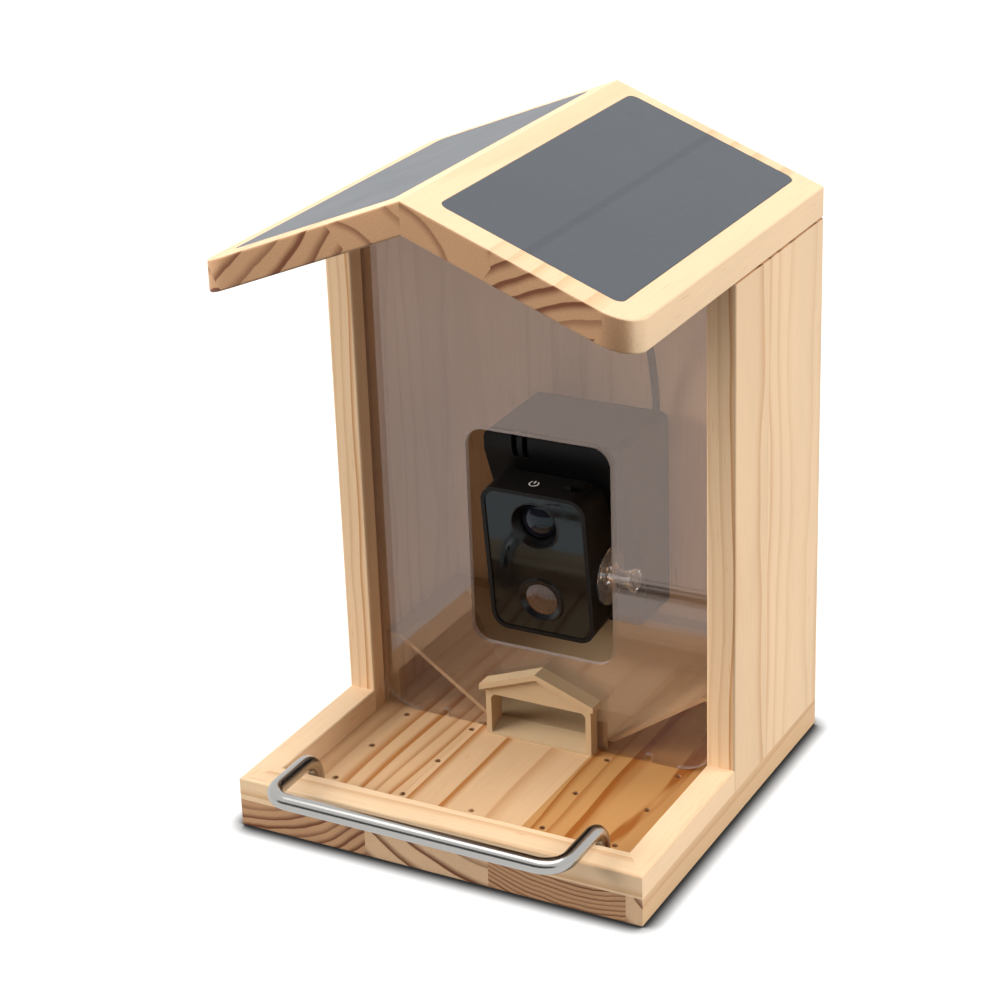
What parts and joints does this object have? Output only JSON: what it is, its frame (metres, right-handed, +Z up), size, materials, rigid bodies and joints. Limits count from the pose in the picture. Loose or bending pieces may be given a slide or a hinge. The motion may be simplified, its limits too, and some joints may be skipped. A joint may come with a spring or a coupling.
{
  "type": "bird feeder",
  "caption": "Gabled wooden bird feeder with a clear window, seed funnel, tray, steel perch, hinged roof with solar panels and a tilting camera.",
  "frame": {"origin": "centre of the underside of the base board", "axes": "+X to the right seen from the front, -Y towards the perch and window, +Z up"},
  "size_m": [0.22, 0.2482, 0.3382],
  "materials": {
    "pine": "sanded and oiled",
    "solar_laminate": "satin laminate over dark cells",
    "zinc_steel": "bright zinc",
    "polished_steel": "polished",
    "clear_acrylic": "clear, polished",
    "clear_plastic": "clear, moulded",
    "beige_plastic": "moulded",
    "black_plastic": "fine grain",
    "black_gloss": "polished",
    "lens_glass": "coated",
    "sensor_lens": "faceted, dark",
    "circuit_board": "solder mask",
    "cell_can": "sleeved",
    "black_rubber": "matt"
  },
  "bodies": {
    "house": {"base_board": "pine", "front_rail": "pine", "left_rail": "pine", "right_rail": "pine", "left_wall": "pine", "right_wall": "pine", "back_wall": "pine", "hinge_lower_leaves": "zinc_steel", "hinge_lower_screws": "zinc_steel", "hinge_pins": "zinc_steel", "front_window": "clear_acrylic", "seed_hopper": "beige_plastic", "seed_gate": "beige_plastic", "perch_bar": "polished_steel", "base_screws": "zinc_steel", "perch_screws": "zinc_steel", "camera_rear_case": "black_plastic", "camera_back_cover": "black_plastic", "control_board": "circuit_board", "battery_cells": "cell_can", "camera_wall_plate": "black_plastic", "back_cover_screws": "zinc_steel", "case_mount_screws": "zinc_steel", "wall_plate_screws": "zinc_steel", "cable_plug": "black_rubber", "solar_cable": "black_rubber"},
    "roof": {"roof_left_board": "pine", "roof_right_board": "pine", "solar_panel_left": "solar_laminate", "solar_panel_right": "solar_laminate", "hinge_upper_leaves": "zinc_steel", "hinge_upper_screws": "zinc_steel", "roof_cable_outlet": "black_rubber"},
    "camera_head": {"camera_head_shell": "black_plastic", "camera_fascia": "black_gloss", "fascia_seal": "black_rubber", "lens_ring": "black_gloss", "lens_glass": "lens_glass", "lens_barrel": "black_plastic", "motion_sensor_ring": "black_plastic", "motion_sensor_lens": "sensor_lens", "sensor_board": "circuit_board", "tilt_screw": "zinc_steel"},
    "tilt_knob": {"tilt_knob": "clear_plastic"},
    "power_switch": {"power_switch": "black_plastic"}
  },
  "joints": [
    {"name": "roof_hinge", "type": "hinge", "parent": "house", "child": "roof", "pos_m": [0, 0.1108, 0.29859], "axis": [-1, 0, 0], "range_deg": [0, 100]},
    {"name": "camera_tilt", "type": "hinge", "parent": "house", "child": "camera_head", "pos_m": [0, 0.0295, 0.105], "axis": [1, 0, 0], "range_deg": [-6, 5]},
    {"name": "knob_turn", "type": "hinge", "parent": "camera_head", "child": "tilt_knob", "pos_m": [0, 0.0295, 0.105], "axis": [1, 0, 0], "range_deg": [-180, 180]},
    {"name": "switch_slide", "type": "slide", "parent": "camera_head", "child": "power_switch", "axis": [1, 0, 0], "range_m": [0, 0.004]}
  ]
}
